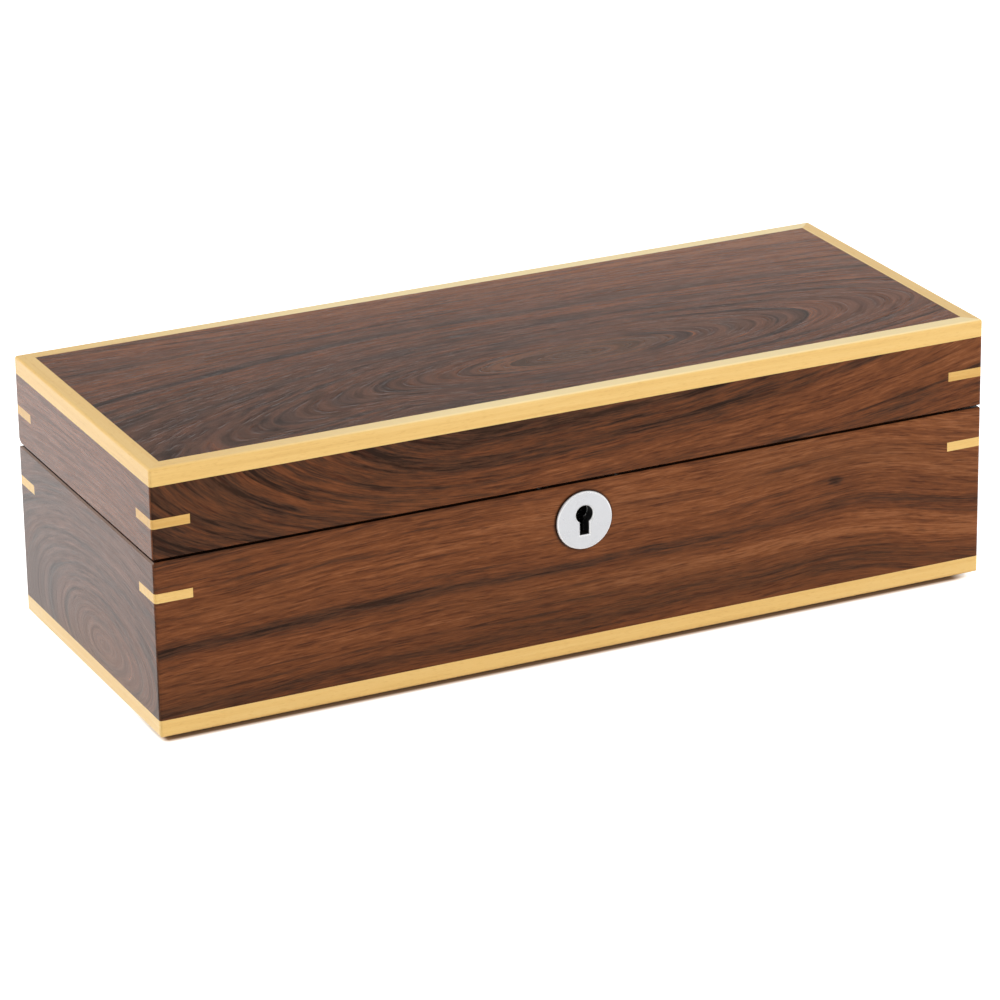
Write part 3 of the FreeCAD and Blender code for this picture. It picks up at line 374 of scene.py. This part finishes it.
def place(name, mesh, finish, body):
    """Puts a mesh in the scene with its finish, riding on its body."""
    mesh.shade_smooth()
    mesh.set_sharp_from_angle(angle=math.radians(50))
    mesh.materials.clear()
    mesh.materials.append(finish.material)
    piece = bpy.data.objects.new(name, mesh)
    bpy.context.scene.collection.objects.link(piece)
    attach(piece, body)
    return piece


def corners(name):
    """A piece's lowest and highest corner, as arrays."""
    return tuple(np.array(corner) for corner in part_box(name))


low, high = corners("base_felt")
outline = rounded_outline(high[1] - low[1], high[2] - low[2], (0.0004, 0.0004, 0.0002, 0.0002))
along = np.linspace(low[0], high[0], 60)
grid = np.empty((len(along), len(outline), 3))
grid[..., 0] = along[:, None]
grid[..., 1] = outline[:, 0] + (low[1] + high[1]) / 2
grid[..., 2] = outline[:, 1] + (low[2] + high[2]) / 2
foot = skin("felt_sheet", grid, felt, "base")
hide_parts("base_felt")

# Lock: a nickel-plated case and cap let into the front wall, a brass bolt and its bowed spring
# inside, and a round satin nickel plate pressed on over the keyhole.
def metal(name, dark, light, roughness, run, depth=0.000008):
    """A worked metal: fine lines, run of them to the millimetre on each axis, and faint stains."""
    stuff = Finish(name, metallic=1.0)
    spot = stuff.millimetres()
    lines = stuff.noise(stuff.scaled(spot, run), 1.0, 3, 0.6)
    stain = stuff.noise(spot, 0.12, 3)
    shade = stuff.sum("ADD", stuff.swing(lines, 0.5, 0.5), stuff.swing(stain, 0.6))
    stuff.give("Base Color", stuff.ramp(shade, ((0.2, dark), (0.8, light))))
    blur = stuff.sum("ADD", stuff.swing(lines, 0.12, roughness), stuff.swing(stain, 0.1))
    stuff.give("Roughness", blur)
    stuff.grain(lines, depth, 0.5)
    return stuff


nickel = metal("satin_nickel", (0.52, 0.525, 0.54), (0.60, 0.605, 0.62), 0.30, (1.2, 1.2, 4.0))
# A painted highlight makes the plate's rounded edge bright all round, and painted shade makes it dark
# inside its bore
HIGHLIGHT_EDGE = (-0.995, -0.93)
BORE_SHADE = (-0.0608, -0.0604)
colour = nickel.shader.inputs["Base Color"].links[0].from_socket
tilt = nickel.add("SeparateXYZ", nickel.add("NewGeometry").outputs["Normal"]).outputs[1]
colour = nickel.mixed(nickel.between(tilt, *HIGHLIGHT_EDGE), colour, (0.92, 0.92, 0.92, 1))
inward = nickel.add("SeparateXYZ", nickel.add("TexCoord").outputs["Object"]).outputs[1]
nickel.give("Metallic", nickel.between(tilt, *HIGHLIGHT_EDGE, 1.0, 0.3))
colour = nickel.mixed(nickel.between(inward, *BORE_SHADE), colour, (0.02, 0.02, 0.02, 1))
nickel.give("Base Color", colour)
plated = metal("plated_steel", (0.52, 0.52, 0.52), (0.61, 0.61, 0.60), 0.26, (0.12, 3.0, 3.0))
brass = metal("lock_brass", (0.54, 0.34, 0.10), (0.64, 0.43, 0.15), 0.30, (0.15, 3.0, 3.0))
blued = metal("spring_steel", (0.14, 0.14, 0.15), (0.21, 0.21, 0.23), 0.36, (0.15, 3.0, 3.0))
dress(nickel, "escutcheon")
dress(plated, "lock_case", "lock_cap")
dress(brass, "lock_bolt")
dress(blued, "lock_spring")

# Hinges: two butt hinges of plated steel on loose pins, their leaves let into the back walls of base
# and lid. Countersunk screws hold them, and the lock and its strike as well.
dress(plated, "hinge_base_leaf_left", "hinge_base_leaf_right", "hinge_lid_leaf_left",
      "hinge_lid_leaf_right", "hinge_pins", "base_screws", "lid_screws")

# Lining of the base: card wrapped in fawn velvet. Four mitred boards stand round the walls, a
# fifth lies on the bottom, and four dividers stand on it between them.
def velvet(name, dark, light):
    """Short pile: its tips catch light as a sheen, and strokes left in the nap show as soft clouds."""
    cloth = Finish(name, sheen_weight=0.45, sheen_roughness=0.35, sheen_tint=(1.0, 0.93, 0.82, 1),
                   specular_ior_level=0.1)
    spot = cloth.millimetres()
    pile = cloth.noise(spot, 1.4, 4, 0.75)
    nap = cloth.noise(cloth.scaled(spot, (0.05, 0.09, 0.07)), 1.0, 4, 0.6)
    shade = cloth.sum("ADD", cloth.swing(pile, 0.9, 0.5), cloth.swing(nap, 0.9))
    cloth.give("Base Color", cloth.ramp(shade, ((0.2, dark), (0.8, light))))
    cloth.give("Roughness", cloth.swing(nap, 0.2, 0.85))
    cloth.grain(cloth.sum("MULTIPLY_ADD", nap, 2.0, pile), 0.00035, 0.8)
    return cloth


lining_velvet = velvet("lining_velvet", (0.28, 0.205, 0.125), (0.47, 0.365, 0.24))


def wrapped_board(name, along, body, edge, mitre=0):
    """Card wrapped in velvet: a rounded outline carried along x (0) or y (1). Where the ends are
    mitred, a point stands back from them by its distance from the board's outer face, which is on
    the low (-1) or the high (1) side."""
    low, high = corners(name)
    middle, size = (low + high) / 2, high - low
    across = 1 - along
    outline = rounded_outline(size[across], size[2], edge)
    depth = size[across] / 2 - mitre * outline[:, 0] if mitre else np.zeros(len(outline))
    run = np.linspace(-1, 1, 40)[:, None]
    grid = np.empty((len(run), len(outline), 3))
    grid[..., along] = middle[along] + run * (size[along] / 2 - depth)
    grid[..., across] = middle[across] + outline[:, 0]
    grid[..., 2] = middle[2] + outline[:, 1]
    piece = skin(name + "_velvet", grid, lining_velvet, body)
    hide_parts(name)


WATCHES = 5
SIDES = (("front", 0, -1), ("back", 0, 1), ("left", 1, -1), ("right", 1, 1))
LINING_EDGE = (0.0012, 0.0012, 0.0002, 0.0002)
FLOOR_EDGE = (0.0006, 0.0006, 0.0002, 0.0002)
DIVIDER_EDGE = (0.0018, 0.0018, 0.0003, 0.0003)
for side, along, outer in SIDES:
    wrapped_board(f"lining_{side}", along, "base", LINING_EDGE, outer)
wrapped_board("floor_lining", 0, "base", FLOOR_EDGE)
for number in range(1, WATCHES):
    wrapped_board(f"divider_{number}", 1, "base", DIVIDER_EDGE)

# Cushions: five velvet covers sewn from a wrap and two end panels, with a piped seam round each
# end, filled firm so that they crown between their seams. They stand loose in their bays.
cushion_velvet = velvet("cushion_velvet", (0.30, 0.22, 0.135), (0.50, 0.39, 0.26))


def filled(blank, pinned, steps=20, most=0.005):
    """Blows up a sewn cover from inside as cloth, with its seams held, and returns its points: no point
    moves further than most."""
    scene = bpy.context.scene
    cover = bpy.data.objects.new("cover", blank)
    scene.collection.objects.link(cover)
    start = np.empty(len(blank.vertices) * 3)
    blank.vertices.foreach_get("co", start)
    start = start.reshape(-1, 3)
    held = cover.vertex_groups.new(name="seams")
    held.add(np.flatnonzero(pinned(start)).tolist(), 1.0, "REPLACE")
    cloth = cover.modifiers.new("filling", "CLOTH")
    cloth.settings.use_pressure = True
    cloth.settings.uniform_pressure_force = 4
    cloth.settings.vertex_group_mass = "seams"
    cloth.settings.effector_weights.gravity = 0
    cloth.point_cache.frame_start, cloth.point_cache.frame_end = 1, steps
    for step in range(1, steps + 1):
        scene.frame_set(step)
    swollen = cover.evaluated_get(bpy.context.evaluated_depsgraph_get()).to_mesh()
    moved = np.empty(len(swollen.vertices) * 3)
    swollen.vertices.foreach_get("co", moved)
    moved = moved.reshape(-1, 3) - start
    far = np.linalg.norm(moved, axis=1, keepdims=True)
    scene.frame_set(1)
    bpy.data.objects.remove(cover)
    return start + moved * np.minimum(1, most / np.maximum(far, 1e-9))


def remeshed(mesh, size):
    """The same skin as an even net of squares."""
    rough = bpy.data.objects.new("rough", mesh)
    bpy.context.scene.collection.objects.link(rough)
    even = rough.modifiers.new("even", "REMESH")
    even.mode, even.voxel_size = "VOXEL", size
    fresh = bpy.data.meshes.new_from_object(rough.evaluated_get(bpy.context.evaluated_depsgraph_get()))
    bpy.data.objects.remove(rough)
    return fresh


END = rounded_outline(0.066, 0.0345, (0.0115, 0.0115, 0.006, 0.006), 12)
SEAM_AT = 0.0222
PIPING = 0.0009
COVER_NET = 0.0025


def piping(name, number, side, points, middle):
    """A cord sewn into one end seam: a circle of PIPING carried along the cover's nearest points to
    END, smoothed along its way, c + PIPING (n cos a + x sin a) with n outward in the end's plane."""
    way = np.column_stack((np.full(len(END), side * SEAM_AT), END)) + middle
    gaps = ((way[:, None] - points[None]) ** 2).sum(axis=2)
    way = points[gaps.argmin(axis=1)]
    for _ in range(2):
        way = (np.roll(way, 1, axis=0) + 2 * way + np.roll(way, -1, axis=0)) / 4
    ahead = np.roll(way, -1, axis=0) - np.roll(way, 1, axis=0)
    out = np.column_stack((np.zeros(len(way)), ahead[:, 2], -ahead[:, 1]))
    out /= np.linalg.norm(out, axis=1, keepdims=True)
    angle = np.linspace(0, 2 * math.pi, 12, endpoint=False)[:, None]
    ring = np.cos(angle) * out[:, None] + np.sin(angle) * np.array((1.0, 0, 0))
    cord = skin(name, way[:, None] + PIPING * ring, cushion_velvet, f"cushion_{number}", ends=False)


def seams(points):
    """Which of a cover's points are held: its underside, and the upright parts of its end seams."""
    near_end = np.abs(points[:, 0]) > SEAM_AT - 0.0012
    upright = np.abs(points[:, 1]) / 0.0335 > 0.94
    underside = points[:, 2] < END[:, 1].min() + 0.001
    return near_end & upright | underside


def cushion(number):
    """One cushion: END carried across the cover's width, filled, and fitted to the room it has."""
    low, high = corners(f"cushion_{number}")
    middle, size = (low + high) / 2, high - low
    run = np.linspace(-SEAM_AT, SEAM_AT, 24)
    grid = np.empty((len(run), len(END), 3))
    grid[..., 0] = run[:, None]
    grid[..., 1] = END[:, 0]
    grid[..., 2] = END[:, 1]
    blank = skin("blank", grid, cushion_velvet, f"cushion_{number}")
    mesh = remeshed(blank.data.copy(), COVER_NET)
    bpy.data.objects.remove(blank)
    points = np.empty(len(mesh.vertices) * 3)
    mesh.vertices.foreach_get("co", points)
    points = points.reshape(-1, 3)
    points = filled(mesh, seams)
    spread = points.max(0) - points.min(0)
    points = (points - (points.max(0) + points.min(0)) / 2) * (size / spread) + middle
    mesh.vertices.foreach_set("co", points.ravel())
    piece = place(f"cushion_{number}_cover", mesh, cushion_velvet, f"cushion_{number}")
    smooth = piece.modifiers.new("smooth", "SUBSURF")
    smooth.levels = smooth.render_levels = 1
    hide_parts(f"cushion_{number}")
    for side in (-1, 1):
        piping(f"cushion_{number}_piping_{'left' if side < 0 else 'right'}", number, side, points, middle)


for number in range(1, WATCHES + 1):
    cushion(number)

# Lid: four walnut walls, cut from the same stock as the base, round a flat walnut panel. Maple
# strips edge the panel, and a maple spline crosses each mitred corner.
dress(walnut("walnut_lid_front", ALONG_X, (-25, 99.9), (2.6, 5.8), (
    (0, 0.28), (0.18, 0.26), (0.34, 0.46), (0.46, 0.64), (0.6, 0.60), (0.72, 0.46), (0.84, 0.50),
    (1, 0.44)), (10, 58), 5, (-0.20, 0.14), lines=0.38, ring=6.5, wander=6, depth=1.4), "lid_front")
dress(walnut("walnut_lid_left", ALONG_Y, (-10, 12.9), (4.5, 4.0), (
    (0, 0.64), (0.25, 0.70), (0.5, 0.60), (0.75, 0.70), (1, 0.62)), (46, 76), 6, lines=0.1,
    gloss=1.1), "lid_left")
dress(walnut("walnut_lid_right", ALONG_Y, (15, 140), (3.5, 3.5), (
    (0, 0.7), (0.3, 0.56), (0.6, 0.76), (1, 0.62)), (52, 82), 7, lines=0.14), "lid_right")
dress(walnut("walnut_lid_back", ALONG_X, (40, -30), (4.6, 5.0), (
    (0, 0.7), (0.3, 0.56), (0.5, 0.76), (0.8, 0.62), (1, 0.7)), (90, 122), 8, lines=0.14), "lid_back")
dress(walnut("walnut_lid_panel", FLAT, (16, -26), (4.7, 4.2), (
    (0, 0.46), (0.09, 0.46), (0.098, 0.16), (0.11, 0.38), (0.2, 0.36), (0.34, 0.38), (0.44, 0.50),
    (0.49, 0.54), (0.505, 0.06), (0.53, 0.40), (0.6, 0.58), (0.74, 0.58), (0.86, 0.80), (1, 0.84)),
    (0, 90), 9, (-0.05, 0.20), lines=0.95, ring=5.2, wander=6, depth=1.15, gloss=3.0, relief=0.00010,
    tail=(-70, -160, 22, 0.4), eye=8.2), "lid_panel")
dress(maple_along, "lid_band_front", "lid_band_back")
dress(maple("maple_deep", ALONG_X, 4, 0.1, 0.1), *(f"lid_spline_{corner}" for corner in CORNERS))
dress(maple_across, "lid_band_left", "lid_band_right")
dress(plated, "strike_plate")

# Lining of the lid: four velvet boards round the walls, and a padded velvet panel over the ceiling,
# which swells a little between its edges.
LID_LINING_EDGE = (0.0002, 0.0002, 0.0008, 0.0008)
for side, along, outer in SIDES:
    wrapped_board(f"lid_lining_{side}", along, "lid", LID_LINING_EDGE, outer)

# The pad's face hangs PAD_SWELL (1 - |x|^6) (1 - |y|^6) below its edges, with x and y from -1 to 1
# between the boards round it
PAD_SWELL = 0.0014
FACE_POINTS, BACK_POINTS = 61, 7
low, high = corners("lid_pad")
middle, half = (low + high) / 2, (high - low) / 2
board_low, board_high = corners("lid_lining_left")
inner = half[:2] - (board_high - board_low)[0]
run = np.linspace(-1, 1, 121)[:, None]
width = np.concatenate((np.linspace(-1, 1, FACE_POINTS), np.linspace(1, -1, BACK_POINTS)))
below = np.arange(len(width)) < FACE_POINTS
crown = np.prod([np.clip(1 - np.abs(along * half[axis] / inner[axis]) ** 6, 0, 1)
                 for axis, along in ((0, run + 0 * width), (1, width + 0 * run))], axis=0)
grid = np.empty((len(run), len(width), 3))
grid[..., 0] = middle[0] + half[0] * run
grid[..., 1] = middle[1] + half[1] * width
grid[..., 2] = np.where(below, low[2] - PAD_SWELL * crown, high[2])
pad = skin("lid_pad_velvet", grid, lining_velvet, "lid")
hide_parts("lid_pad")

# Stage: a white floor and surround that read as plain white paper, a large soft lamp in front to the
# right, a second behind to the left, and the camera where the picture was taken.
PAPER, SHADED = (0.88, 0.88, 0.88, 1), (0.40, 0.26, 0.16, 1)
WHITE, SHADED_GLOW = (1, 1, 1, 1), (0.80, 0.58, 0.38, 1)
stage = Finish("white_floor", roughness=0.9, specular_ior_level=0.0)
path = stage.add("LightPath")
seen = stage.sum("MAXIMUM", path.outputs["Is Camera Ray"], path.outputs["Is Transmission Ray"])
glow = stage.sum("MAXIMUM", stage.sum("MULTIPLY", seen, 0.8), stage.sum(
    "MULTIPLY", path.outputs["Is Glossy Ray"], 0.5))
spot = stage.add("SeparateXYZ", stage.add("TexCoord").outputs["Object"])
# A painted shadow: in a thin line before the box's foot, and only there, the floor's colour is darkened
# and warmed and its glow dimmed
shade = stage.between(spot.outputs[0], 0.1475, 0.1410)
for axis, near, far in ((0, -0.1497, -0.1470), (1, -0.0615, -0.0588), (1, -0.03, -0.05)):
    shade = stage.sum("MULTIPLY", shade, stage.between(spot.outputs[axis], near, far))
stage.give("Base Color", stage.mixed(shade, PAPER, SHADED))
stage.give("Emission Color", stage.mixed(shade, WHITE, SHADED_GLOW))
stage.give("Emission Strength", stage.sum("MULTIPLY", glow, stage.sum("SUBTRACT", 1, shade)))
FLOOR_REACH, FLOOR_HEIGHT = 6, -0.0003
floor_mesh = bpy.data.meshes.new("floor")
floor_mesh.from_pydata([(FLOOR_REACH * x, FLOOR_REACH * y, FLOOR_HEIGHT) for x, y in (
    (-1, -1), (1, -1), (1, 1), (-1, 1))], [], [(0, 1, 2, 3)])
floor_mesh.materials.append(stage.material)
floor = bpy.data.objects.new("floor", floor_mesh)
bpy.context.scene.collection.objects.link(floor)

# The surround is bright low down, dim a third of the way up and bright overhead. To the camera it is
# plain white.
SKY = ((0.0, 1.0), (0.27, 0.95), (0.335, 0.14), (0.55, 0.38), (1.0, 1.15))
world = bpy.data.worlds.new("surround")
bpy.context.scene.world = world
world.use_nodes = True
air, wires = world.node_tree.nodes, world.node_tree.links
way = air.new("ShaderNodeTexCoord")
split = air.new("ShaderNodeSeparateXYZ")
wires.new(way.outputs["Generated"], split.inputs[0])
sky = air.new("ShaderNodeValToRGB")
wires.new(split.outputs["Z"], sky.inputs[0])
while len(sky.color_ramp.elements) < len(SKY):
    sky.color_ramp.elements.new(0.5)
for element, (at, shade) in zip(sky.color_ramp.elements, SKY):
    element.position = at
    element.color = (shade, shade, shade, 1)
background = air["Background"]
wires.new(sky.outputs[0], background.inputs["Color"])
white = air.new("ShaderNodeBackground")
white.inputs["Color"].default_value = WHITE
view = air.new("ShaderNodeLightPath")
either = air.new("ShaderNodeMath")
either.operation = "MAXIMUM"
wires.new(view.outputs["Is Camera Ray"], either.inputs[0])
wires.new(view.outputs["Is Transmission Ray"], either.inputs[1])
blend = air.new("ShaderNodeMixShader")
wires.new(either.outputs[0], blend.inputs[0])
wires.new(background.outputs[0], blend.inputs[1])
wires.new(white.outputs[0], blend.inputs[2])
wires.new(blend.outputs[0], air["World Output"].inputs["Surface"])

BOX_MIDDLE = Vector((0, 0, 0.05))


def soft_lamp(name, stand, size, watts):
    """A square soft lamp, turned to face the box, that doesn't mirror itself in the lacquer."""
    lamp = bpy.data.lights.new(name, "AREA")
    lamp.energy, lamp.size = watts, size
    holder = bpy.data.objects.new(name, lamp)
    holder.visible_glossy = False
    holder.location = stand
    holder.rotation_euler = (BOX_MIDDLE - Vector(stand)).to_track_quat("-Z", "Y").to_euler()
    bpy.context.scene.collection.objects.link(holder)


soft_lamp("front_lamp", (1.5, -1.7, 0.9), 0.8, 24)
soft_lamp("back_lamp", (-1.8, 0.7, 0.9), 1.2, 16)

# The camera's place and turn, fitted to the box's corners in the picture
lens = bpy.data.cameras.new("camera")
lens.lens, lens.sensor_width = 172.366, 36
camera = bpy.data.objects.new("camera", lens)
camera.matrix_world = Matrix(((0.90106655, 0.17067854, -0.39868273, -0.644423),
                              (-0.43340219, 0.32144331, -0.84192443, -1.357763),
                              (-0.01554453, 0.93141990, 0.36361426, 0.620695),
                              (0, 0, 0, 1)))
bpy.context.scene.collection.objects.link(camera)
bpy.context.scene.camera = camera
bpy.context.scene.view_settings.view_transform = "Standard"
